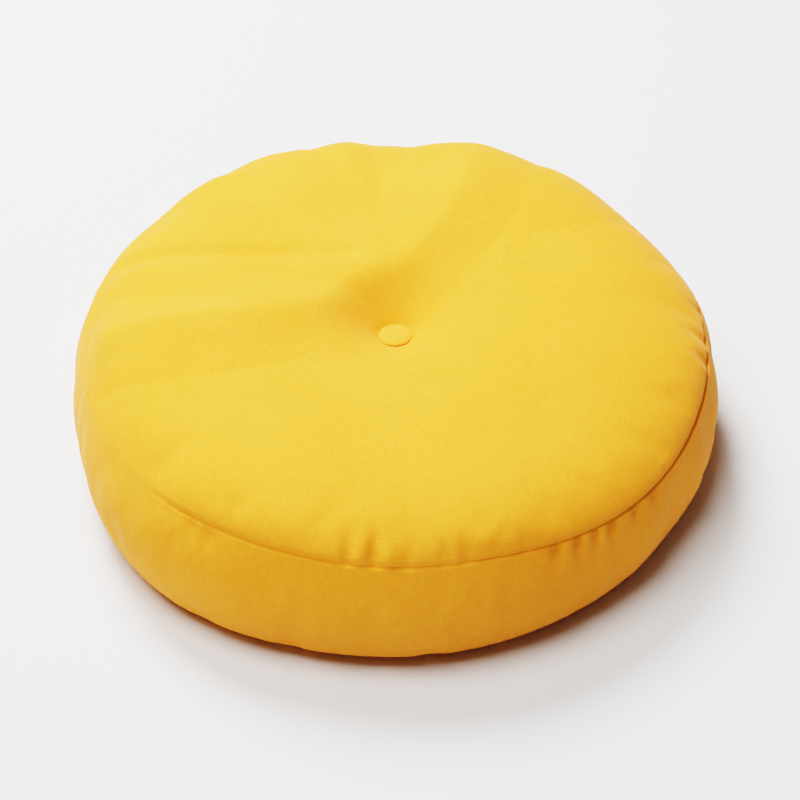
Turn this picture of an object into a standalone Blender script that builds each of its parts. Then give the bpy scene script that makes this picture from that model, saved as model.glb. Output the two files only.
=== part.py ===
"""Round boxed floor cushion, tufted with one covered button in its top panel.

Metres, +Z up. The cushion lies on Z = 0 with its outline centred over the origin.
Azimuths are in degrees from +X towards +Y, so the front of the cushion is at 270.
"""

import math
from collections import namedtuple

import bpy
from mathutils import Vector

# Driving dimensions of the cushion
PANEL_RADIUS = 0.2390         # top panel, out to the seam that joins it to the border
BORDER_RADIUS = 0.2495        # widest part of the border, halfway down
BORDER_FULLNESS = 0.8         # below one, the border leaves its seams more steeply
LOWER_RADIUS = 0.2420         # bottom panel, out to its seam
BASE_RADIUS = 0.2060          # flat part of the bottom panel, which rests on the floor
PANEL_SEAM_HEIGHT = 0.1015
LOWER_SEAM_HEIGHT = 0.0180
CROWN = 0.0450                # how far the filling lifts the top panel above its seam
CROWN_FLATNESS = 5.0          # higher keeps the crown level further out
SHOULDER_ROUNDNESS = 0.78     # below one, the shoulder meets the seam upright
SEAM_GROOVE = 0.0014          # how far the stitching draws the cloth in

# Driving dimensions of the covered button and its tuft
BUTTON_RADIUS = 0.0131
BUTTON_HEIGHT = 0.0070
BUTTON_BACK_RADIUS = 0.0116
BUTTON_TOP_HEIGHT = 0.1195    # above the floor
BUTTON_GAP = 0.0003
SEAT_RADIUS = 0.0124          # flat of cloth that the button is drawn down on
TUFT_RIM_RADIUS = 0.0150
TUFT_RIM_DROP = 0.0036        # rim of the tuft below the top of the button
TUFT_WIDTH = 0.040
TUFT_SHARPNESS = 0.95
TUFT_FORWARD = 0.0060         # the tuft sits a little in front of the panel's centre
BUTTON_EDGE_SHARE = 0.36      # height of the button's edge, as a share of the button's
BUTTON_SQUARENESS = 0.9

# Mesh
TURN_STEPS = 128
PANEL_RINGS = 24
PANEL_CROWDING = 0.65         # how much closer the rings are at the tuft and the shoulder
BORDER_RINGS = 8
BORDER_CROWDING = 0.6
UNDERSIDE_RINGS = 5
BUTTON_STEPS = 40
BUTTON_RINGS = 7
FOLD_PIECES = 24
CREST_ROUNDING = 0.22         # radius of a fold's crest, as a share of its half width
MERGE_DISTANCE = 0.00001

CLOTH_COLOUR = (0.93, 0.48, 0.015, 1.0)
BUTTON_COLOUR = (0.94, 0.52, 0.035, 1.0)
CLOTH_ROUGHNESS = 0.88

# The filling pushes the rim out or lets it in, lifts or drops the top seam, and fills the crown
Lobe = namedtuple("Lobe", "azimuth half_width seam_outward border_outward seam_rise crown_rise")
LOBES = (
    Lobe(6, 16, -0.0020, 0.0000, 0.0000, 0.0000),
    Lobe(33, 26, -0.0025, -0.0040, 0.0000, 0.0000),
    Lobe(57, 24, 0.0070, 0.0010, 0.0000, 0.0070),
    Lobe(100, 75, 0.0060, 0.0040, 0.0000, 0.0050),
    Lobe(112, 10, 0.0050, 0.0000, 0.0000, 0.0075),
    Lobe(131, 14, 0.0100, 0.0065, 0.0000, 0.0055),
    Lobe(159, 12, 0.0025, 0.0030, 0.0000, 0.0000),
    Lobe(171, 12, 0.0020, 0.0020, 0.0000, 0.0000),
    Lobe(228, 40, 0.0020, 0.0060, 0.0000, 0.0000),
    Lobe(238, 36, 0.0000, 0.0000, 0.0055, 0.0000),
    Lobe(318, 38, 0.0010, -0.0060, -0.0110, 0.0000),
)

# Soft folds of the top panel, each a bowed line on the plan; a rise below zero is a trough
Fold = namedtuple("Fold", "start bow end half_width rise")
FOLDS = (
    Fold((0.006, 0.034), (0.030, 0.110), (0.060, 0.216), 0.048, 0.0042),
    Fold((-0.036, -0.002), (-0.150, 0.012), (-0.236, -0.032), 0.048, 0.0036),
    Fold((-0.020, 0.070), (-0.115, 0.100), (-0.228, 0.064), 0.013, -0.0024),
    Fold((-0.156, 0.148), (-0.141, 0.160), (-0.122, 0.166), 0.014, 0.0016),
)

# Puckers beside the stitching; a rise below zero is a crease
Pucker = namedtuple("Pucker", "azimuth half_width reach rise")
PANEL_PUCKERS = (
    Pucker(3, 3.6, 0.034, -0.0016),
    Pucker(356, 3.4, 0.030, -0.0018),
    Pucker(262, 3.2, 0.030, -0.0016),
    Pucker(267, 3.0, 0.036, -0.0026),
    Pucker(272, 3.2, 0.030, 0.0014),
    Pucker(282, 3.4, 0.026, -0.0014),
)
BORDER_PUCKERS = (
    Pucker(236, 3.4, 0.030, -0.0014),
    Pucker(302, 3.4, 0.032, -0.0018),
    Pucker(309, 3.2, 0.028, -0.0018),
    Pucker(318, 3.6, 0.026, -0.0014),
)
LOWER_PUCKERS = (
    Pucker(236, 4.0, 0.030, -0.0020),
    Pucker(252, 3.6, 0.026, -0.0018),
    Pucker(276, 3.6, 0.026, -0.0016),
)
ALONG_SHOULDER = 0.7          # share of a pucker that goes outward, and the same upward
FOLD_FADE = 0.020             # folds of the top panel die out this close to its seam or the tuft


def ease(distance):
    """One at zero distance, falling smoothly to nothing at a distance of one and beyond."""
    return 0.5 + 0.5 * math.cos(math.pi * min(abs(distance), 1.0))


def roof(distance):
    """One at zero distance, falling along straight flanks from a round crest to nothing at one."""
    fall = math.hypot(min(distance, 1.0), CREST_ROUNDING) - CREST_ROUNDING
    return (1.0 - fall / (math.hypot(1.0, CREST_ROUNDING) - CREST_ROUNDING)) ** 1.5


def azimuth_gap(first, second):
    """Degrees from one azimuth to the other, the short way round."""
    return abs((first - second + 180.0) % 360.0 - 180.0)


def crowded(count, crowding):
    """Fractions from 0 to 1, closer together towards both ends."""
    for step in range(count + 1):
        even = step / count
        yield even - crowding * math.sin(2.0 * math.pi * even) / (2.0 * math.pi)


def panel_height(radius):
    """Height of the top panel: a flat crown with round shoulders, drawn down by the tuft."""
    fullness = 1.0 - (radius / PANEL_RADIUS) ** CROWN_FLATNESS
    crowned = PANEL_SEAM_HEIGHT + CROWN * fullness ** SHOULDER_ROUNDNESS
    tuft_depth = PANEL_SEAM_HEIGHT + CROWN - (BUTTON_TOP_HEIGHT - TUFT_RIM_DROP)
    from_rim = (radius - TUFT_RIM_RADIUS) / TUFT_WIDTH
    return crowned - tuft_depth * math.exp(-from_rim ** TUFT_SHARPNESS)


def cushion_profile():
    """Radius and height of each ring, from the top of the axis down the outside to the base."""
    seat_height = BUTTON_TOP_HEIGHT - BUTTON_HEIGHT - BUTTON_GAP
    rings = [(0.0, seat_height), (SEAT_RADIUS, seat_height)]
    for along in crowded(PANEL_RINGS, PANEL_CROWDING):
        radius = TUFT_RIM_RADIUS + (PANEL_RADIUS - TUFT_RIM_RADIUS) * along
        rings.append((radius, panel_height(radius)))
    rings[-1] = (PANEL_RADIUS - SEAM_GROOVE, PANEL_SEAM_HEIGHT)
    for along in list(crowded(BORDER_RINGS, BORDER_CROWDING))[1:-1]:
        straight = PANEL_RADIUS + (LOWER_RADIUS - PANEL_RADIUS) * along
        belly = BORDER_RADIUS - (PANEL_RADIUS + LOWER_RADIUS) / 2.0
        radius = straight + belly * math.sin(math.pi * along) ** BORDER_FULLNESS
        height = PANEL_SEAM_HEIGHT + (LOWER_SEAM_HEIGHT - PANEL_SEAM_HEIGHT) * along
        rings.append((radius, height))
    rings.append((LOWER_RADIUS - SEAM_GROOVE, LOWER_SEAM_HEIGHT))
    for step in range(1, UNDERSIDE_RINGS + 1):
        turn = math.pi / 2.0 * step / UNDERSIDE_RINGS
        radius = BASE_RADIUS + (LOWER_RADIUS - BASE_RADIUS) * math.cos(turn)
        rings.append((radius, LOWER_SEAM_HEIGHT * (1.0 - math.sin(turn))))
    rings.append((0.0, 0.0))
    return rings


def button_profile():
    """A domed cap with a rounded edge over a narrower flat back."""
    back_height = BUTTON_TOP_HEIGHT - BUTTON_HEIGHT
    edge_height = back_height + BUTTON_EDGE_SHARE * BUTTON_HEIGHT
    rings = [(0.0, BUTTON_TOP_HEIGHT)]
    for step in range(1, BUTTON_RINGS + 1):
        turn = math.pi / 2.0 * step / BUTTON_RINGS
        height = edge_height + (BUTTON_TOP_HEIGHT - edge_height) * math.cos(turn)
        rings.append((BUTTON_RADIUS * math.sin(turn) ** BUTTON_SQUARENESS, height))
    rings.append((BUTTON_BACK_RADIUS, back_height))
    rings.append((0.0, back_height))
    return rings


def turned_mesh(name, rings, steps):
    """The closed mesh that a Screw modifier makes of a profile."""
    outline = bpy.data.meshes.new(name + "_profile")
    points = [(radius, 0.0, height) for radius, height in rings]
    edges = [(index, index + 1) for index in range(len(points) - 1)]
    outline.from_pydata(points, edges, [])
    turned = bpy.data.objects.new(name + "_profile", outline)
    bpy.context.scene.collection.objects.link(turned)
    screw = turned.modifiers.new("turn", "SCREW")
    screw.axis = "Z"
    screw.steps = steps
    screw.render_steps = steps
    screw.use_merge_vertices = True
    screw.merge_threshold = MERGE_DISTANCE
    depsgraph = bpy.context.evaluated_depsgraph_get()
    mesh = bpy.data.meshes.new_from_object(turned.evaluated_get(depsgraph))
    mesh.name = name
    bpy.data.objects.remove(turned)
    return mesh


def fold_route(fold):
    """Points along a fold's bowed line, on the plan."""
    start, bow, end = (Vector(point) for point in (fold.start, fold.bow, fold.end))
    control = 2.0 * bow - (start + end) / 2.0
    for piece in range(FOLD_PIECES + 1):
        t = piece / FOLD_PIECES
        yield (1 - t) ** 2 * start + 2 * t * (1 - t) * control + t ** 2 * end


FOLD_ROUTES = [list(fold_route(fold)) for fold in FOLDS]


def fold_rise(x, y):
    """How far the folds of the top panel lift or lower the cloth here."""
    here = Vector((x, y))
    total = 0.0
    for fold, route in zip(FOLDS, FOLD_ROUTES):
        nearest = min((here - point).length for point in route)
        total += fold.rise * roof(nearest / fold.half_width)
    return total


def pucker_rise(puckers, azimuth, from_seam):
    """How far the puckers beside a seam push the cloth out here."""
    total = 0.0
    for pucker in puckers:
        across = azimuth_gap(azimuth, pucker.azimuth) / pucker.half_width
        total += pucker.rise * ease(across) * ease(from_seam / pucker.reach)
    return total


def lobe_shift(azimuth, down_border, crowned):
    """Outward and upward shift of the rim at an azimuth, from the seam down or up the crown."""
    outward = 0.0
    upward = 0.0
    belly = math.sin(math.pi / 2.0 * min(2.0 * down_border, 1.0))
    for lobe in LOBES:
        share = ease(azimuth_gap(azimuth, lobe.azimuth) / lobe.half_width)
        outward += share * (lobe.seam_outward + (lobe.border_outward - lobe.seam_outward) * belly)
        upward += share * (lobe.seam_rise * (1.0 - down_border) + lobe.crown_rise * crowned)
    return outward, upward


def shaped(point):
    """Where a point of the round, even cushion goes on the real one."""
    radius = math.hypot(point.x, point.y)
    azimuth = math.degrees(math.atan2(point.y, point.x)) % 360.0
    below_seam = PANEL_SEAM_HEIGHT - point.z
    border_height = PANEL_SEAM_HEIGHT - LOWER_SEAM_HEIGHT
    down_border = min(max(below_seam / border_height, 0.0), 1.0)
    crowned = max(-below_seam / CROWN, 0.0)
    rim = min(radius / PANEL_RADIUS, 1.0) ** 2
    outward, upward = lobe_shift(azimuth, down_border, crowned)
    height = point.z + upward * rim
    if crowned > 0.0:
        from_seam = max(PANEL_RADIUS - radius, 0.0)
        pucker = pucker_rise(PANEL_PUCKERS, azimuth, from_seam)
        outward += pucker * ALONG_SHOULDER
        height += pucker * ALONG_SHOULDER
        from_tuft = max(radius - TUFT_RIM_RADIUS, 0.0)
        inside = min(from_seam, from_tuft)
        height += fold_rise(point.x, point.y) * (1.0 - ease(inside / FOLD_FADE))
    elif down_border < 1.0:
        outward += pucker_rise(BORDER_PUCKERS, azimuth, below_seam)
        outward += pucker_rise(LOWER_PUCKERS, azimuth, border_height - below_seam)
    radius += outward * rim
    turn = math.radians(azimuth)
    forward = TUFT_FORWARD * (1.0 - rim) ** 2 if crowned > 0.0 else 0.0
    return Vector((radius * math.cos(turn), radius * math.sin(turn) - forward, height))


def cloth(name, colour):
    """Matte woven cotton."""
    material = bpy.data.materials.new(name)
    material.use_nodes = True
    shader = material.node_tree.nodes["Principled BSDF"]
    shader.inputs["Base Color"].default_value = colour
    shader.inputs["Roughness"].default_value = CLOTH_ROUGHNESS
    shader.inputs["Metallic"].default_value = 0.0
    return material


def add_part(name, mesh, material, collection):
    mesh.materials.clear()
    mesh.materials.append(material)
    mesh.shade_smooth()
    part = bpy.data.objects.new(name, mesh)
    collection.objects.link(part)
    return part


def main():
    for item in list(bpy.data.objects):
        bpy.data.objects.remove(item)
    collection = bpy.data.collections.new("round_floor_cushion")
    bpy.context.scene.collection.children.link(collection)

    body = turned_mesh("cushion", cushion_profile(), TURN_STEPS)
    for vertex in body.vertices:
        vertex.co = shaped(vertex.co)
    xs = [vertex.co.x for vertex in body.vertices]
    ys = [vertex.co.y for vertex in body.vertices]
    centre = Vector(((min(xs) + max(xs)) / 2.0, (min(ys) + max(ys)) / 2.0, 0.0))
    button = turned_mesh("button", button_profile(), BUTTON_STEPS)
    for vertex in button.vertices:
        vertex.co.y -= TUFT_FORWARD
    for mesh in (body, button):
        for vertex in mesh.vertices:
            vertex.co -= centre

    add_part("cushion", body, cloth("yellow_cotton", CLOTH_COLOUR), collection)
    add_part("button", button, cloth("yellow_cotton_button", BUTTON_COLOUR), collection)


main()
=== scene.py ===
import math

import bmesh
import bpy
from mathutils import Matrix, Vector, noise


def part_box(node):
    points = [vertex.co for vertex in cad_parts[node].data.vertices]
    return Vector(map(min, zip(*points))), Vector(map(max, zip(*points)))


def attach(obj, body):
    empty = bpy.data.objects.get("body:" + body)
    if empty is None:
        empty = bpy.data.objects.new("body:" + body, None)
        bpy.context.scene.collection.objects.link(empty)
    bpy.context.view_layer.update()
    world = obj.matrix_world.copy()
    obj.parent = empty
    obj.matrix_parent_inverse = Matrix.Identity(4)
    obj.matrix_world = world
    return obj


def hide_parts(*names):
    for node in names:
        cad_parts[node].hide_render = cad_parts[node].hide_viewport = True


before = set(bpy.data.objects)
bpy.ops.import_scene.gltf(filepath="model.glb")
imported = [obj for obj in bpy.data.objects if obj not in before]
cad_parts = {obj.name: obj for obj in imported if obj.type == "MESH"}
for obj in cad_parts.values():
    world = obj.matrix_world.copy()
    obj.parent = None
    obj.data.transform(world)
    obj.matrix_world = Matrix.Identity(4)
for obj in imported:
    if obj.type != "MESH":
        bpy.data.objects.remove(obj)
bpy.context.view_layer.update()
print("frame loaded:", ", ".join(sorted(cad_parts)))


# Camera, at the photograph's angle

cameraView = {
    "elevation": 42.4,              # degrees above the floor
    "distance": 2.0,
    "lens": 115.6,
    "sensor": 36.0,
    "target": (0.0039, -0.0047, 0.0448),
}


def placeCamera():
    lens = bpy.data.cameras.new("photo_camera")
    lens.sensor_width = cameraView["sensor"]
    lens.lens = cameraView["lens"]
    camera = bpy.data.objects.new("photo_camera", lens)
    bpy.context.scene.collection.objects.link(camera)
    up = math.radians(cameraView["elevation"])
    away = Vector((0.0, -math.cos(up), math.sin(up)))
    camera.location = Vector(cameraView["target"]) + away * cameraView["distance"]
    camera.rotation_euler = (-away).to_track_quat("-Z", "Y").to_euler()
    bpy.context.scene.camera = camera
    print("camera placed")


# Small helpers for shapes that fade out with distance

def ease(distance):
    return 0.5 + 0.5 * math.cos(math.pi * min(abs(distance), 1.0))


def roof(distance, rounding):
    # straight flanks from a rounded crest, nothing at a distance of one
    fall = math.hypot(min(abs(distance), 1.0), rounding) - rounding
    return (1.0 - fall / (math.hypot(1.0, rounding) - rounding)) ** 1.5


def turnGap(first, second):
    # degrees from one azimuth to the other, the short way round
    return abs((first - second + 180.0) % 360.0 - 180.0)


def ringNoise(azimuth, scale, seed):
    # noise that closes on itself round the cushion
    turn = math.radians(azimuth)
    return noise.noise(Vector((math.cos(turn) * scale, math.sin(turn) * scale, seed)))


# The sewn cover and its filling. Lengths in metres, azimuths in degrees from +X towards +Y

cushion = {
    "columns": 288,
    # the cover before it is filled: a drum, as radius, height and spans to the next line
    "topLines": (
        (0.0060, 2), (0.0124, 1), (0.0131, 6), (0.0300, 26), (0.1900, 8), (0.2250, 6), (0.2390, 0),
    ),
    "borderLines": ((0.1015, 3), (0.0935, 11), (0.0260, 3)),
    "underLines": ((0.2390, 7), (0.2060, 8), (0.0600, 0)),
    "panelRadius": 0.2390,
    "borderRadius": 0.2495,
    "borderFullness": 0.8,
    "lowerRadius": 0.2420,
    "baseRadius": 0.2060,
    "seamHeight": 0.1015,
    "lowerSeamHeight": 0.0180,
    "crown": 0.0450,
    "crownFlatness": 5.0,           # higher keeps the crown level further out
    "shoulderRoundness": 0.78,
    # towards the front right the crown is lower and its shoulder tighter
    "front": {
        "azimuth": 288.0,
        "from": -0.10,              # share of the panel's radius where it starts, and where it is whole
        "to": 0.80,
        "crown": 0.0325,
        "flatness": 6.5,
        "roundness": 0.64,
    },
    "seatRadius": 0.0124,           # cloth under the button
    "seatHeight": 0.1142,
    "tuftRim": 0.0131,
    "tuftRimHeight": 0.1149,
    "tuftWidth": 0.040,
    "tuftSharpness": 0.95,
    "tuftForward": 0.0060,
    # azimuth, half width, then how far the seam and the border go out, and the seam and the crown go up
    "lobes": (
        (6, 16, -0.0010, 0.0000, 0.0000, 0.0000),
        (33, 26, -0.0015, -0.0020, 0.0000, 0.0000),
        (57, 24, 0.0070, 0.0010, 0.0000, 0.0058),
        (100, 75, 0.0060, 0.0040, 0.0000, 0.0050),
        (12, 10, 0.0022, 0.0018, 0.0000, 0.0000),
        (80, 9, 0.0020, 0.0000, 0.0000, 0.0012),
        (101.5, 8, 0.0040, 0.0000, 0.0000, 0.0090),
        (112, 10, 0.0045, 0.0000, 0.0000, 0.0088),
        (119.5, 8, 0.0050, 0.0020, 0.0000, 0.0075),
        (131, 14, 0.0075, 0.0065, 0.0000, 0.0045),
        (150, 12, 0.0030, 0.0020, 0.0000, 0.0000),
        (159, 12, 0.0025, 0.0030, 0.0000, 0.0000),
        (171, 12, 0.0020, 0.0020, 0.0000, 0.0000),
        (228, 40, 0.0020, 0.0060, 0.0000, 0.0000),
        (226, 30, 0.0000, 0.0034, 0.0000, 0.0000),
        (262, 44, 0.0000, 0.0034, 0.0000, 0.0000),
        (328, 12, 0.0000, -0.0020, 0.0000, 0.0000),
        (238, 36, 0.0000, 0.0000, 0.0055, 0.0000),
        (318, 38, 0.0010, -0.0022, -0.0110, 0.0000),
    ),
    # ridges of the top panel: start, bow and end on the plan, width to the left and right, rise, crest
    "ridges": (
        ((-0.026, 0.034), (0.033, 0.093), (0.066, 0.206), 0.065, 0.050, 0.0092, 0.14),
        ((-0.042, 0.010), (-0.130, -0.019), (-0.238, -0.022), 0.058, 0.050, 0.0118, 0.15),
    ),
    # creases and small folds, in the same order
    "creases": (
        ((-0.035, 0.067), (-0.110, 0.066), (-0.215, 0.071), 0.015, 0.015, -0.0036, 0.30),
        ((-0.156, 0.148), (-0.141, 0.160), (-0.122, 0.166), 0.014, 0.014, 0.0020, 0.40),
        ((-0.196, -0.072), (-0.186, -0.100), (-0.170, -0.125), 0.035, 0.035, 0.0025, 0.40),
    ),
    # the panel sinks between its two ridges: depth, the width of each flank, and how far off rim and tuft
    "hollow": (0.0070, 0.085, 0.075, 0.080),
    "hollowOffRim": 0.035,
    "hollowOffTuft": (0.050, 0.060),
    "hollowSharpness": 6.0,         # how sharply its flanks meet
    "hollowLift": 0.1,              # gives back some of the depth that their blend takes away
    "foldFade": 0.020,              # folds die out this close to the seam
    "foldFadeAtTuft": 0.044,
    # puckers beside the stitching: azimuth, half width, reach and rise
    "panelPuckers": (
        (262.0, 1.7, 0.036, -0.0028),
        (264.3, 1.5, 0.032, 0.0014),
        (266.6, 1.8, 0.042, -0.0040),
        (269.2, 1.8, 0.034, 0.0016),
        (272.4, 1.8, 0.026, -0.0018),
        (278.6, 1.8, 0.024, -0.0018),
        (282.4, 2.0, 0.028, -0.0022),
        (287.5, 1.7, 0.020, -0.0012),
        (293.0, 1.8, 0.022, -0.0014),
        (353.0, 2.2, 0.030, -0.0024),
        (359.0, 2.2, 0.034, -0.0026),
        (7.6, 2.2, 0.028, -0.0018),
    ),
    "borderPuckers": (
        (234.0, 2.0, 0.026, -0.0014),
        (237.6, 2.0, 0.024, -0.0018),
        (298.0, 2.0, 0.028, -0.0034),
        (300.2, 1.5, 0.024, 0.0016),
        (302.4, 1.8, 0.036, -0.0046),
        (304.3, 1.5, 0.024, 0.0018),
        (306.2, 1.8, 0.028, -0.0036),
        (307.9, 1.4, 0.024, 0.0016),
        (309.8, 1.8, 0.034, -0.0046),
        (315.5, 1.9, 0.026, -0.0032),
        (320.6, 2.2, 0.028, -0.0034),
    ),
    "lowerPuckers": (
        (236, 4.0, 0.030, -0.0020),
        (252, 3.6, 0.026, -0.0018),
        (276, 3.6, 0.026, -0.0016),
    ),
    "puckerHold": (0.35, 0.006),    # share of a pucker left at the stitches, and where it is whole again
    "pressure": 4.0,
    "frames": 20,
    "stiffness": 25.0,
    "gather": 0.02,                 # how much the cloth shrinks towards its stitching
    "gatherReach": 0.03,
    "tuftGather": 0.3,              # and, as a share of that, towards the tuft
    "onTop": 0.08,                  # above this height the cloth beside the button is held
    "heldBesideTuft": 0.002,
    "resting": 0.0005,              # below this height the cloth rests on the floor
    "heldAtSeam": (0.85, 0.004),    # how firmly the stitching holds, and how far beside it
    "evenShare": 0.1,               # share of the even swelling that is kept
    "mostMoved": 0.005,             # cap on what the simulation may move a point
    "calm": 0.25,                   # share of its unevenness that is kept away from the seams
    "besideSeam": 0.55,             # and beside them
    "besideSeamFrom": (0.015, 0.035),       # where that share starts to fade, and over what distance
    "fill": 0.8,
}

seam = {
    "width": 0.0010,                # half width of the drawn-in line
    "depth": 0.0020,
    "lowerDepth": 0.0009,
    "faint": (199.0, 20.0, 14.0, 0.02),     # where it hardly shows: azimuth, half width, fade, depth left
    "lip": 0.00012,                 # the cloth stands up a little beside it
    "lipWidth": 0.0035,
    "gatherReach": 0.014,
    "gatherRise": 0.00036,
    "gatherScale": 26.0,
    "wanderScale": 3.0,             # the gathers come and go this slowly round the seam
    "reach": 0.05,                  # further off, the thread moves nothing
    "apart": 0.3,                   # points of the top panel are marked further than this from the lower seam
    "cuts": 3,                      # finer rows beside the stitching
    "onLine": 0.00002,
    "offLine": 0.00010,
}


def drawLine(bm, tip, end, spans):
    # one straight run of an outline, drawn on from its tip in even steps
    step = (end - tip.co) / spans
    for span in range(spans):
        tip = bmesh.ops.extrude_vert_indiv(bm, verts=[tip])["verts"][0]
        tip.co += step
    return tip


def drumMesh():
    bm = bmesh.new()
    run = []
    for radius, spans in cushion["topLines"]:
        run.append((Vector((radius, 0.0, cushion["seamHeight"])), spans))
    # the top seam is both the panel's last line and the border's first
    run[-1] = (run[-1][0], cushion["borderLines"][0][1])
    for height, spans in cushion["borderLines"][1:]:
        run.append((Vector((cushion["panelRadius"], 0.0, height)), spans))
    for index, (radius, spans) in enumerate(cushion["underLines"]):
        height = cushion["lowerSeamHeight"] if index == 0 else 0.0
        run.append((Vector((radius, 0.0, height)), spans))
    tip = bm.verts.new(run[0][0])
    for (place, spans), (end, nextSpans) in zip(run, run[1:]):
        tip = drawLine(bm, tip, end, spans)
    bmesh.ops.spin(bm, geom=bm.verts[:] + bm.edges[:], cent=(0, 0, 0), axis=(0, 0, 1), dvec=(0, 0, 0),
                   angle=2.0 * math.pi, steps=cushion["columns"], use_merge=True, use_duplicate=False)
    bmesh.ops.remove_doubles(bm, verts=bm.verts[:], dist=0.00001)
    bmesh.ops.recalc_face_normals(bm, faces=bm.faces[:])
    return bm


def partOf(place):
    # which panel of the drum a point belongs to: top, border or under
    if place.z > cushion["seamHeight"] - 0.00001:
        return "top"
    if math.hypot(place.x, place.y) > cushion["panelRadius"] - 0.0005:
        return "border"
    return "under"


def domeHeight(radius, crown, flatness, roundness):
    fullness = max(1.0 - (radius / cushion["panelRadius"]) ** flatness, 0.0)
    return crown * fullness ** roundness


def crownHeight(radius):
    dome = domeHeight(radius, cushion["crown"], cushion["crownFlatness"], cushion["shoulderRoundness"])
    return cushion["seamHeight"] + dome


def frontDrop(place):
    # how far the crown lies below its even height towards the front right
    front = cushion["front"]
    radius = math.hypot(place.x, place.y)
    turn = math.radians(front["azimuth"])
    ahead = (place.x * math.cos(turn) + place.y * math.sin(turn)) / cushion["panelRadius"]
    share = min(max((ahead - front["from"]) / (front["to"] - front["from"]), 0.0), 1.0)
    lower = domeHeight(radius, front["crown"], front["flatness"], front["roundness"])
    return (crownHeight(radius) - cushion["seamHeight"] - lower) * (1.0 - ease(share))


def panelHeight(radius):
    if radius < cushion["tuftRim"]:
        seat = cushion["seatRadius"]
        share = max((radius - seat) / (cushion["tuftRim"] - seat), 0.0)
        return cushion["seatHeight"] + (cushion["tuftRimHeight"] - cushion["seatHeight"]) * share
    depth = cushion["seamHeight"] + cushion["crown"] - cushion["tuftRimHeight"]
    fromRim = (radius - cushion["tuftRim"]) / cushion["tuftWidth"]
    return crownHeight(radius) - depth * math.exp(-fromRim ** cushion["tuftSharpness"])


def foldLine(fold):
    # the fold's bowed line as a run of short straight pieces
    start, bow, end = (Vector(point) for point in fold[:3])
    control = 2.0 * bow - (start + end) / 2.0
    pieces = 16
    steps = [piece / pieces for piece in range(pieces + 1)]
    return [(1 - t) ** 2 * start + 2 * t * (1 - t) * control + t ** 2 * end for t in steps]


foldLines = {fold: foldLine(fold) for fold in cushion["ridges"] + cushion["creases"]}


def nearestOn(line, here, runsOn):
    # distance to a line, then 1 on its left or -1 on its right; it may run straight on past its ends
    nearest, side = 1.0, 1.0
    for index, (first, second) in enumerate(zip(line, line[1:])):
        along = second - first
        t = (here - first).dot(along) / along.length_squared
        if index > 0 or not runsOn:
            t = max(t, 0.0)
        if index < len(line) - 2 or not runsOn:
            t = min(t, 1.0)
        gap = here - (first + along * t)
        if gap.length < nearest:
            nearest = gap.length
            side = 1.0 if along.x * gap.y - along.y * gap.x > 0.0 else -1.0
    return nearest, side


def foldShare(fold, here):
    # one on the fold's line, falling to nothing at its width on either side
    nearest, side = nearestOn(foldLines[fold], here, False)
    width = fold[3] if side > 0.0 else fold[4]
    return roof(nearest / width, fold[6])


def beyondLine(fold, here):
    # signed distance to the left of a fold's line
    nearest, side = nearestOn(foldLines[fold], here, True)
    return nearest * side


def hollowDepth(here):
    # a dished facet behind the button, straight-sided at the two ridges and easing out at the rim
    depth, besideRidge, behindRidge, insideRim = cushion["hollow"]
    back, left = cushion["ridges"]
    offTuft, tuftBlend = cushion["hollowOffTuft"]
    shares = (beyondLine(back, here) / besideRidge,
              -beyondLine(left, here) / behindRidge,
              (cushion["panelRadius"] - cushion["hollowOffRim"] - here.length) / insideRim,
              (here.length - offTuft) / tuftBlend)
    low = min(shares)
    if low <= 0.0:
        return 0.0
    sharpness = cushion["hollowSharpness"]
    softLow = -math.log(sum(math.exp(-sharpness * share) for share in shares)) / sharpness
    return depth * math.sin(math.pi / 2.0 * min(max(min(low, softLow + cushion["hollowLift"]), 0.0), 1.0))


def foldRise(x, y):
    here = Vector((x, y))
    ridges = max(fold[5] * foldShare(fold, here) for fold in cushion["ridges"])
    creases = sum(fold[5] * foldShare(fold, here) for fold in cushion["creases"])
    return ridges + creases - hollowDepth(here)


def puckerRise(puckers, azimuth, fromSeam):
    # the stitches hold the seam itself
    left, free = cushion["puckerHold"]
    held = left + (1.0 - left) * (1.0 - ease(fromSeam / free))
    total = 0.0
    for centre, halfWidth, reach, rise in puckers:
        total += rise * ease(turnGap(azimuth, centre) / halfWidth) * ease(fromSeam / reach) * held
    return total


def lobeShift(azimuth, downBorder, crowned):
    outward, upward = 0.0, 0.0
    belly = math.sin(math.pi / 2.0 * min(2.0 * downBorder, 1.0))
    for centre, halfWidth, seamOut, borderOut, seamUp, crownUp in cushion["lobes"]:
        share = ease(turnGap(azimuth, centre) / halfWidth)
        outward += share * (seamOut + (borderOut - seamOut) * belly)
        upward += share * (seamUp * (1.0 - downBorder) + crownUp * crowned)
    return outward, upward


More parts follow.
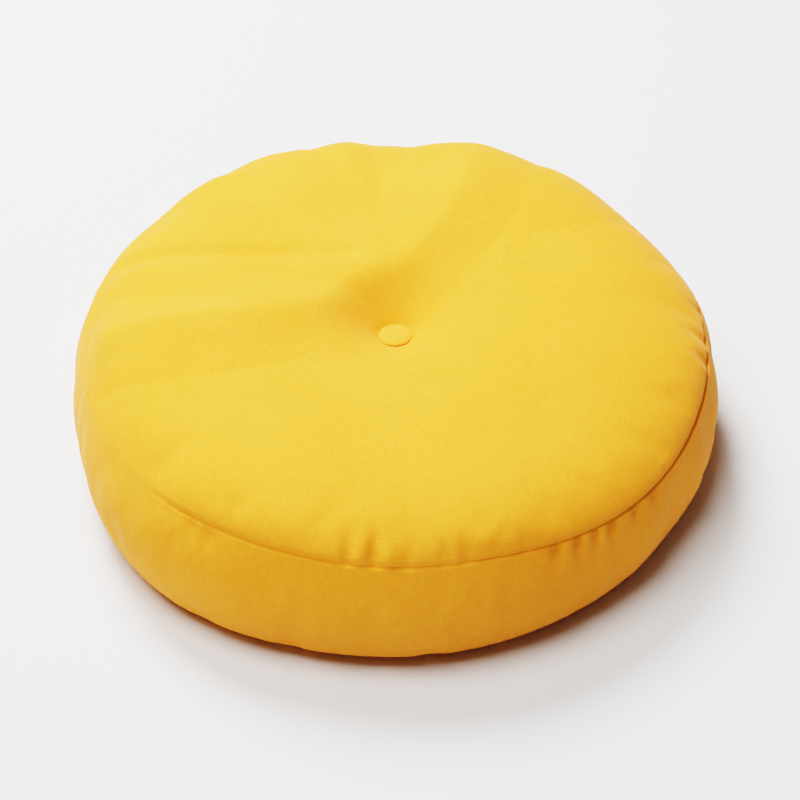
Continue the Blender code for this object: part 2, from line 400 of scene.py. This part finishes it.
def filledPlace(place):
    # where a point of the empty drum goes once the cushion is filled
    part = partOf(place)
    radius = math.hypot(place.x, place.y)
    azimuth = math.degrees(math.atan2(place.y, place.x)) % 360.0
    borderHeight = cushion["seamHeight"] - cushion["lowerSeamHeight"]
    outward, upward, height = 0.0, 0.0, place.z
    if part == "top":
        height = panelHeight(radius) - frontDrop(place)
        crowned = max(height - cushion["seamHeight"], 0.0) / cushion["crown"]
        rim = min(radius / cushion["panelRadius"], 1.0) ** 2
        outward, upward = lobeShift(azimuth, 0.0, crowned)
        height += upward * rim
        fromSeam = max(cushion["panelRadius"] - radius, 0.0)
        outward *= rim
        fade = 1.0 - ease(fromSeam / cushion["foldFade"])
        fade *= 1.0 - ease(max(radius - cushion["tuftRim"], 0.0) / cushion["foldFadeAtTuft"])
        height += foldRise(place.x, place.y) * fade
        forward = cushion["tuftForward"] * (1.0 - rim) ** 2
    else:
        forward = 0.0
        downBorder = min(max((cushion["seamHeight"] - place.z) / borderHeight, 0.0), 1.0)
        outward, upward = lobeShift(azimuth, downBorder, 0.0)
        if part == "border" and downBorder < 1.0:
            straight = cushion["panelRadius"] + (cushion["lowerRadius"] - cushion["panelRadius"]) * downBorder
            belly = cushion["borderRadius"] - (cushion["panelRadius"] + cushion["lowerRadius"]) / 2.0
            radius = straight + belly * math.sin(math.pi * downBorder) ** cushion["borderFullness"]
            height += upward
        elif part == "border":
            radius = cushion["lowerRadius"]
        elif radius > cushion["baseRadius"]:
            # quarter turn from the lower seam in to the flat base
            share = (radius - cushion["baseRadius"]) / (cushion["panelRadius"] - cushion["baseRadius"])
            turn = math.acos(min(share, 1.0))
            radius = cushion["baseRadius"] + (cushion["lowerRadius"] - cushion["baseRadius"]) * share
            height = cushion["lowerSeamHeight"] * (1.0 - math.sin(turn))
            outward *= share
        else:
            outward = 0.0
            height = 0.0
    radius += outward
    turn = math.radians(azimuth)
    return Vector((radius * math.cos(turn), radius * math.sin(turn) - forward, height))


def clothLengths():
    # how much cloth lies between the panel's centre and each radius
    lengths, total, steps = [0.0], 0.0, 240
    for step in range(steps):
        near = cushion["panelRadius"] * step / steps
        far = cushion["panelRadius"] * (step + 1) / steps
        total += math.hypot(far - near, panelHeight(far) - panelHeight(near))
        lengths.append(total)
    return lengths


def layCloth(bm):
    # the weave runs straight across both panels and along the border
    lengths = clothLengths()
    weave = bm.loops.layers.uv.new("cloth")
    back = math.pi / 2.0            # the border's strip starts at the back
    for face in bm.faces:
        middle = face.calc_center_median()
        part = partOf(middle)
        middleTurn = (math.atan2(middle.y, middle.x) - back) % (2.0 * math.pi)
        for loop in face.loops:
            place = loop.vert.co
            if part == "border":
                turn = (math.atan2(place.y, place.x) - back) % (2.0 * math.pi)
                if turn - middleTurn > math.pi:
                    turn -= 2.0 * math.pi
                if turn - middleTurn < -math.pi:
                    turn += 2.0 * math.pi
                loop[weave].uv = (turn * cushion["borderRadius"], place.z)
            elif part == "top":
                radius = math.hypot(place.x, place.y)
                spot = min(radius / cushion["panelRadius"], 1.0) * (len(lengths) - 1)
                low = min(int(spot), len(lengths) - 2)
                reach = lengths[low] + (lengths[low + 1] - lengths[low]) * (spot - low)
                stretch = reach / radius if radius > 0.0 else 1.0
                loop[weave].uv = (place.x * stretch, place.y * stretch)
            else:
                loop[weave].uv = (place.x, place.y)


def markSeams(bm):
    # how far each point lies from the two seams, up the panel or down the border
    fromTop = bm.verts.layers.float.new("fromTopSeam")
    fromLower = bm.verts.layers.float.new("fromLowerSeam")
    for vert in bm.verts:
        part = partOf(vert.co)
        radius = math.hypot(vert.co.x, vert.co.y)
        if part == "top":
            rise = panelHeight(radius) - cushion["seamHeight"]
            vert[fromTop] = math.hypot(cushion["panelRadius"] - radius, rise)
            vert[fromLower] = 1.0
        elif part == "border":
            vert[fromTop] = cushion["seamHeight"] - vert.co.z
            vert[fromLower] = vert.co.z - cushion["lowerSeamHeight"]
        else:
            vert[fromTop] = 1.0
            vert[fromLower] = cushion["panelRadius"] - radius


def newPiece(name, bm):
    mesh = bpy.data.meshes.new(name)
    bm.to_mesh(mesh)
    bm.free()
    mesh.shade_smooth()
    piece = bpy.data.objects.new(name, mesh)
    bpy.context.scene.collection.objects.link(piece)
    return piece


def takeShape(piece):
    # keeps what the piece's modifiers make of it, and drops them
    made = bpy.data.meshes.new_from_object(piece.evaluated_get(bpy.context.evaluated_depsgraph_get()))
    piece.modifiers.clear()
    piece.data = made


def ringOrder(bm):
    # points on one ring of the drum share a number
    found = {}
    order = []
    for vert in bm.verts:
        key = (round(math.hypot(vert.co.x, vert.co.y), 4), round(vert.co.z, 4))
        order.append(found.setdefault(key, len(found)))
    return order


def fillWithPressure(piece, rings):
    # the filling presses on the cover, held at its stitching, its tuft and where it rests
    mesh = piece.data
    rest = [vert.co.copy() for vert in mesh.vertices]
    fromTop = [value.value for value in mesh.attributes["fromTopSeam"].data]
    fromLower = [value.value for value in mesh.attributes["fromLowerSeam"].data]
    held = piece.vertex_groups.new(name="held")
    gathered = piece.vertex_groups.new(name="gathered")
    tuft = buttonMiddle
    firmness, firmReach = cushion["heldAtSeam"]
    gatherReach = cushion["gatherReach"]
    for index, place in enumerate(rest):
        fromSeam = min(fromTop[index], fromLower[index])
        fromTuft = math.hypot(place.x - tuft.x, place.y - tuft.y)
        onTuft = place.z > cushion["onTop"] and fromTuft < cushion["tuftRim"] + cushion["heldBesideTuft"]
        resting = place.z < cushion["resting"]
        weight = 1.0 if onTuft or resting else firmness * ease(fromSeam / firmReach)
        held.add([index], weight, "REPLACE")
        nearTuft = ease(max(fromTuft - cushion["tuftRim"], 0.0) / gatherReach)
        gathering = max(ease(fromSeam / gatherReach), cushion["tuftGather"] * nearTuft)
        gathered.add([index], gathering, "REPLACE")
    cloth = piece.modifiers.new("filling", "CLOTH")
    cloth.settings.quality = 6
    cloth.settings.mass = 0.25
    cloth.settings.tension_stiffness = cushion["stiffness"]
    cloth.settings.compression_stiffness = cushion["stiffness"]
    cloth.settings.shear_stiffness = 10.0
    cloth.settings.bending_stiffness = 0.8
    cloth.settings.use_pressure = True
    cloth.settings.uniform_pressure_force = cushion["pressure"]
    cloth.settings.vertex_group_mass = "held"
    cloth.settings.vertex_group_shrink = "gathered"
    cloth.settings.shrink_min = 0.0
    cloth.settings.shrink_max = cushion["gather"]
    cloth.settings.effector_weights.gravity = 0.0
    cloth.collision_settings.use_collision = False
    cloth.point_cache.frame_start = 1
    cloth.point_cache.frame_end = cushion["frames"]
    scene = bpy.context.scene
    for step in range(1, cushion["frames"] + 1):
        scene.frame_set(step)
    swollen = piece.evaluated_get(bpy.context.evaluated_depsgraph_get())
    places = [vert.co.copy() for vert in swollen.data.vertices]
    piece.modifiers.clear()
    scene.frame_set(1)
    piece.vertex_groups.clear()

    # the even part of the swelling is already in the shape, so only the uneven part is kept
    sums = {}
    for index, place in enumerate(rest):
        out = Vector((place.x, place.y, 0.0)).normalized()
        move = places[index] - place
        total = sums.setdefault(rings[index], [0.0, 0.0, 0])
        total[0] += move.dot(out)
        total[1] += move.z
        total[2] += 1
    furthest = 0.0
    fadeStart, fadeLength = cushion["besideSeamFrom"]
    for index, place in enumerate(rest):
        out = Vector((place.x, place.y, 0.0)).normalized()
        total = sums[rings[index]]
        even = out * (total[0] / total[2]) + Vector((0.0, 0.0, total[1] / total[2]))
        fromSeam = min(fromTop[index], fromLower[index])
        kept = cushion["calm"]
        kept += (cushion["besideSeam"] - kept) * ease(max(fromSeam - fadeStart, 0.0) / fadeLength)
        move = (places[index] - place - even) * kept + even * cushion["evenShare"]
        furthest = max(furthest, move.length)
        if move.length > cushion["mostMoved"]:
            move *= cushion["mostMoved"] / move.length
        if place.z < cushion["resting"]:
            move = Vector()
        mesh.vertices[index].co = place + move
    print("filling pressed into the cover, furthest move", round(furthest * 1000.0, 1), "mm")


def subdivideCloth(piece):
    finer = piece.modifiers.new("finer", "SUBSURF")
    finer.levels = 1
    finer.render_levels = 1
    takeShape(piece)
    # the middle of the base and the cloth under the button are flat, and closed last
    bm = bmesh.new()
    bm.from_mesh(piece.data)
    bmesh.ops.holes_fill(bm, edges=[edge for edge in bm.edges if edge.is_boundary], sides=0)
    bmesh.ops.recalc_face_normals(bm, faces=bm.faces[:])
    bm.to_mesh(piece.data)
    bm.free()


def seamShape(fromSeam, depth):
    groove = -depth * ease(fromSeam / seam["width"])
    lip = seam["lip"] * ease((fromSeam - seam["width"]) / seam["lipWidth"])
    return groove + lip * depth / seam["depth"]


def sewSeams(piece):
    # draws the cloth in along both seams, with the small gathers that the thread makes
    bm = bmesh.new()
    bm.from_mesh(piece.data)
    fromTop = bm.verts.layers.float["fromTopSeam"]
    fromLower = bm.verts.layers.float["fromLowerSeam"]
    for layer in (fromTop, fromLower):
        beside = [edge for edge in bm.edges
                  if min(edge.verts[0][layer], edge.verts[1][layer]) < seam["onLine"]
                  and max(edge.verts[0][layer], edge.verts[1][layer]) > seam["offLine"]]
        bmesh.ops.subdivide_edges(bm, edges=beside, cuts=seam["cuts"], use_grid_fill=True)
    bm.normal_update()
    moves = []
    for vert in bm.verts:
        azimuth = math.degrees(math.atan2(vert.co.y, vert.co.x)) % 360.0
        move = 0.0
        for layer, seed in ((fromTop, 3.0), (fromLower, 9.0)):
            gap = vert[layer]
            if gap > seam["reach"]:
                continue
            wander = 0.5 + 0.5 * ringNoise(azimuth, seam["wanderScale"], seed + 1.0)
            gathers = ringNoise(azimuth, seam["gatherScale"], seed) * seam["gatherRise"] * 2.0 * wander
            depth = seam["depth"] if layer == fromTop else seam["lowerDepth"]
            centre, halfWidth, fade, left = seam["faint"]
            depth *= 1.0 - (1.0 - left) * ease(max(turnGap(azimuth, centre) - halfWidth, 0.0) / fade)
            move += seamShape(gap, depth) + gathers * ease(gap / seam["gatherReach"])
            if layer == fromLower:
                puckers = cushion["lowerPuckers"]
            elif vert[fromLower] > seam["apart"]:
                puckers = cushion["panelPuckers"]
            else:
                puckers = cushion["borderPuckers"]
            move += puckerRise(puckers, azimuth, gap)
        moves.append(vert.co + vert.normal * move)
    for vert, place in zip(bm.verts, moves):
        vert.co = place
        vert.co.z = max(vert.co.z, 0.0)
    mesh = piece.data
    bm.to_mesh(mesh)
    bm.free()
    mesh.shade_smooth()


def makeCushion():
    bm = drumMesh()
    rings = ringOrder(bm)
    layCloth(bm)
    markSeams(bm)
    shift = buttonMiddle - Vector((0.0, -cushion["tuftForward"], 0.0))
    shift.z = 0.0
    for vert in bm.verts:
        vert.co = filledPlace(vert.co) + shift
    piece = newPiece("cushion_cover", bm)
    print("cover cut and filled,", len(piece.data.vertices), "points")
    fillWithPressure(piece, rings)
    subdivideCloth(piece)
    sewSeams(piece)
    piece.data.materials.append(wovenCotton("yellow_cotton", coverCloth))
    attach(piece, "root")
    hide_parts("cushion")
    print("seams sewn,", len(piece.data.polygons), "faces")


# The covered button

button = {
    "columns": 72,
    "rows": 40,
    "radius": 0.0125,
    "height": 0.0036,
    "backRadius": 0.0116,
    "edgeShare": 0.44,              # height of the edge, as a share of the button's
    "squareness": 0.9,
    "lean": 0.04,                   # its back edge lies a little lower
    "pleats": 15,
    "pleatDepth": 0.00022,
    "pleatReach": 0.30,             # how far in from its edge they run, as a share of its radius
    "bareMiddle": 0.1,              # and none inside this share
    "undercut": 1.6,                # how fast its edge turns under
    "clothStretch": 1.1,
    "clothStart": 0.3,              # where on the cloth it was cut
    "fill": 0.9,
}


def makeButton():
    bm = bmesh.new()
    bmesh.ops.create_uvsphere(bm, u_segments=button["columns"], v_segments=button["rows"], radius=1.0)
    weave = bm.loops.layers.uv.new("cloth")
    back = buttonLow.z
    crest = back + button["height"]
    edge = back + button["edgeShare"] * button["height"]
    for vert in bm.verts:
        flat = Vector((vert.co.x, vert.co.y))
        azimuth = math.degrees(math.atan2(flat.y, flat.x))
        spread = flat.length
        radius = button["radius"] * spread ** button["squareness"]
        if vert.co.z >= 0.0:
            height = edge + (crest - edge) * vert.co.z
        else:
            height = edge + (edge - back) * max(vert.co.z * button["undercut"], -1.0)
            radius = min(radius, button["radius"] + (button["radius"] - button["backRadius"]) * vert.co.z)
        # the cloth is drawn round the form in small pleats at its edge
        pleat = ringNoise(azimuth, button["pleats"] / 6.0, 4.0) * ease((1.0 - spread) / button["pleatReach"])
        radius += button["pleatDepth"] * 2.0 * pleat * (1.0 if spread > button["bareMiddle"] else 0.0)
        turned = flat.normalized() * radius if spread > 0.0 else Vector((0.0, 0.0))
        height -= turned.y * button["lean"]
        vert.co = Vector((buttonMiddle.x + turned.x, buttonMiddle.y + turned.y, height))
    for face in bm.faces:
        for loop in face.loops:
            across = (loop.vert.co - buttonMiddle) * button["clothStretch"]
            loop[weave].uv = (across.x + button["clothStart"], across.y)
    bmesh.ops.recalc_face_normals(bm, faces=bm.faces[:])
    piece = newPiece("covered_button", bm)
    piece.data.materials.append(wovenCotton("yellow_button_cotton", buttonCloth))
    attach(piece, "root")
    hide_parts("button")
    print("button covered")


# Cloth

coverCloth = {
    "light": (0.970, 0.350, 0.048, 1.0),
    "dark": (0.905, 0.298, 0.031, 1.0),
    "thread": 0.00100,              # metres between threads
    "threadRise": 0.00010,
    "slubRise": 0.00028,
    "slubLong": 110.0,              # slubs to a metre, along and across their thread
    "slubAcross": 620.0,
    "slubRoughness": 0.6,
    "slubShare": 0.75,              # of the colour's spread; the rest is a broad mottle
    "mottleScale": 14.0,
    "spreadFrom": 0.37,
    "spreadTo": 0.63,
    "roughness": 0.86,
    "specular": 0.2,
    "sheen": 0.15,
    "sheenTint": (1.0, 0.90, 0.60, 1.0),
    "sheenRoughness": 0.45,
}
buttonCloth = dict(coverCloth, light=(0.970, 0.354, 0.052, 1.0), dark=(0.920, 0.312, 0.038, 1.0))


def wovenCotton(name, look):
    material = bpy.data.materials.new(name)
    material.use_nodes = True
    nodes = material.node_tree.nodes
    links = material.node_tree.links
    shader = nodes["Principled BSDF"]

    def put(kind, **settings):
        node = nodes.new(kind)
        for key, value in settings.items():
            setattr(node, key, value)
        return node

    def combine(operation, first, second=None):
        node = put("ShaderNodeMath", operation=operation)
        for socket, value in zip(node.inputs, (first, second)):
            if value is None:
                continue
            if isinstance(value, (int, float)):
                socket.default_value = value
            else:
                links.new(value, socket)
        return node.outputs[0]

    def streaks(scale, detail):
        # noise drawn out along one set of threads
        mapping = put("ShaderNodeMapping")
        mapping.inputs["Scale"].default_value = scale
        links.new(weave.outputs["UV"], mapping.inputs["Vector"])
        grain = put("ShaderNodeTexNoise", noise_dimensions="2D")
        grain.inputs["Scale"].default_value = 1.0
        grain.inputs["Detail"].default_value = detail
        grain.inputs["Roughness"].default_value = look["slubRoughness"]
        links.new(mapping.outputs["Vector"], grain.inputs["Vector"])
        return grain.outputs["Fac"]

    weave = put("ShaderNodeUVMap", uv_map="cloth")
    split = put("ShaderNodeSeparateXYZ")
    links.new(weave.outputs["UV"], split.inputs["Vector"])
    turns = math.pi / look["thread"]
    warp = combine("SINE", combine("MULTIPLY", split.outputs["X"], turns))
    weft = combine("SINE", combine("MULTIPLY", split.outputs["Y"], turns))
    over = combine("ADD", combine("MULTIPLY", combine("MULTIPLY", warp, weft), 0.5), 0.5)
    under = combine("SUBTRACT", 1.0, over)
    warpHeight = combine("MULTIPLY", combine("ABSOLUTE", warp), over)
    weftHeight = combine("MULTIPLY", combine("ABSOLUTE", weft), under)
    threads = combine("MAXIMUM", warpHeight, weftHeight)

    warpSlubs = streaks((look["slubAcross"], look["slubLong"], 1.0), 3.0)
    weftSlubs = streaks((look["slubLong"], look["slubAcross"], 1.0), 3.0)
    slubs = combine("MULTIPLY", combine("ADD", warpSlubs, weftSlubs), 0.5)

    place = put("ShaderNodeTexCoord")
    mottle = put("ShaderNodeTexNoise")
    mottle.inputs["Scale"].default_value = look["mottleScale"]
    mottle.inputs["Detail"].default_value = 3.0
    links.new(place.outputs["Object"], mottle.inputs["Vector"])
    slubShade = combine("MULTIPLY", slubs, look["slubShare"])
    mottleShade = combine("MULTIPLY", mottle.outputs["Fac"], 1.0 - look["slubShare"])
    shade = combine("ADD", slubShade, mottleShade)
    spread = put("ShaderNodeMapRange")
    spread.inputs["From Min"].default_value = look["spreadFrom"]
    spread.inputs["From Max"].default_value = look["spreadTo"]
    links.new(shade, spread.inputs["Value"])
    colour = put("ShaderNodeMix", data_type="RGBA")
    links.new(spread.outputs["Result"], colour.inputs["Factor"])
    for socket in colour.inputs:
        if socket.type == "RGBA":
            socket.default_value = look["dark"] if socket.name == "A" else look["light"]
    links.new([socket for socket in colour.outputs if socket.type == "RGBA"][0], shader.inputs["Base Color"])

    coarse = put("ShaderNodeBump")
    coarse.inputs["Distance"].default_value = look["slubRise"]
    coarse.inputs["Strength"].default_value = 1.0
    links.new(slubs, coarse.inputs["Height"])
    fine = put("ShaderNodeBump")
    fine.inputs["Distance"].default_value = look["threadRise"]
    fine.inputs["Strength"].default_value = 1.0
    links.new(threads, fine.inputs["Height"])
    links.new(coarse.outputs["Normal"], fine.inputs["Normal"])
    links.new(fine.outputs["Normal"], shader.inputs["Normal"])

    shader.inputs["Roughness"].default_value = look["roughness"]
    shader.inputs["Specular IOR Level"].default_value = look["specular"]
    shader.inputs["Sheen Weight"].default_value = look["sheen"]
    shader.inputs["Sheen Tint"].default_value = look["sheenTint"]
    shader.inputs["Sheen Roughness"].default_value = look["sheenRoughness"]
    return material


# Floor and studio light

studio = {
    "floorRadius": 8.0,
    "floorColour": (0.76, 0.853, 0.94, 1.0),    # a cool floor, which the warm lamps turn white
    "floorRoughness": 0.9,
    # each lamp's azimuth, elevation, size and power; all stand as far from the cushion
    "lamps": {"window_light": (118.0, 54.0, 1.2, 115.0), "fill_light": (217.0, 71.0, 1.6, 65.0)},
    "lampDistance": 2.6,
    "lampAim": (0.0, 0.0, 0.1),
    "lampColour": (1.0, 0.89, 0.80),
    "skyLow": (0.40, 0.36, 0.33, 1.0),
    "skyHigh": (1.0, 0.91, 0.84, 1.0),
    "skyHighFrom": 0.8,             # the sky is at its lightest above this share of its height
    "skyStrength": 0.10,
}


def makeFloor():
    bm = bmesh.new()
    bmesh.ops.create_circle(bm, cap_ends=True, segments=64, radius=studio["floorRadius"])
    floor = newPiece("studio_floor", bm)
    material = bpy.data.materials.new("pale_floor")
    material.use_nodes = True
    shader = material.node_tree.nodes["Principled BSDF"]
    shader.inputs["Base Color"].default_value = studio["floorColour"]
    shader.inputs["Roughness"].default_value = studio["floorRoughness"]
    floor.data.materials.append(material)


def lightStudio():
    scene = bpy.context.scene
    aim = Vector(studio["lampAim"])
    for name, (azimuth, elevation, size, power) in studio["lamps"].items():
        lamp = bpy.data.lights.new(name, "AREA")
        lamp.shape = "DISK"
        lamp.size = size
        lamp.energy = power
        lamp.color = studio["lampColour"]
        stand = bpy.data.objects.new(name, lamp)
        scene.collection.objects.link(stand)
        turn, up = math.radians(azimuth), math.radians(elevation)
        away = Vector((math.cos(turn) * math.cos(up), math.sin(turn) * math.cos(up), math.sin(up)))
        stand.location = aim + away * studio["lampDistance"]
        stand.rotation_euler = (-away).to_track_quat("-Z", "Y").to_euler()

    world = bpy.data.worlds.new("soft_sky")
    world.use_nodes = True
    scene.world = world
    nodes = world.node_tree.nodes
    links = world.node_tree.links
    direction = nodes.new("ShaderNodeTexCoord")
    split = nodes.new("ShaderNodeSeparateXYZ")
    ramp = nodes.new("ShaderNodeValToRGB")
    links.new(direction.outputs["Generated"], split.inputs["Vector"])
    links.new(split.outputs["Z"], ramp.inputs["Fac"])
    links.new(ramp.outputs["Color"], nodes["Background"].inputs["Color"])
    ramp.color_ramp.elements[0].position = 0.0
    ramp.color_ramp.elements[0].color = studio["skyLow"]
    ramp.color_ramp.elements[1].position = studio["skyHighFrom"]
    ramp.color_ramp.elements[1].color = studio["skyHigh"]
    nodes["Background"].inputs["Strength"].default_value = studio["skyStrength"]

    scene.view_settings.view_transform = "Filmic"
    scene.view_settings.look = "Very High Contrast"
    print("studio lit")


placeCamera()
buttonLow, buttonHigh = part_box("button")
buttonMiddle = (buttonLow + buttonHigh) / 2.0
makeCushion()
makeButton()
makeFloor()
lightStudio()
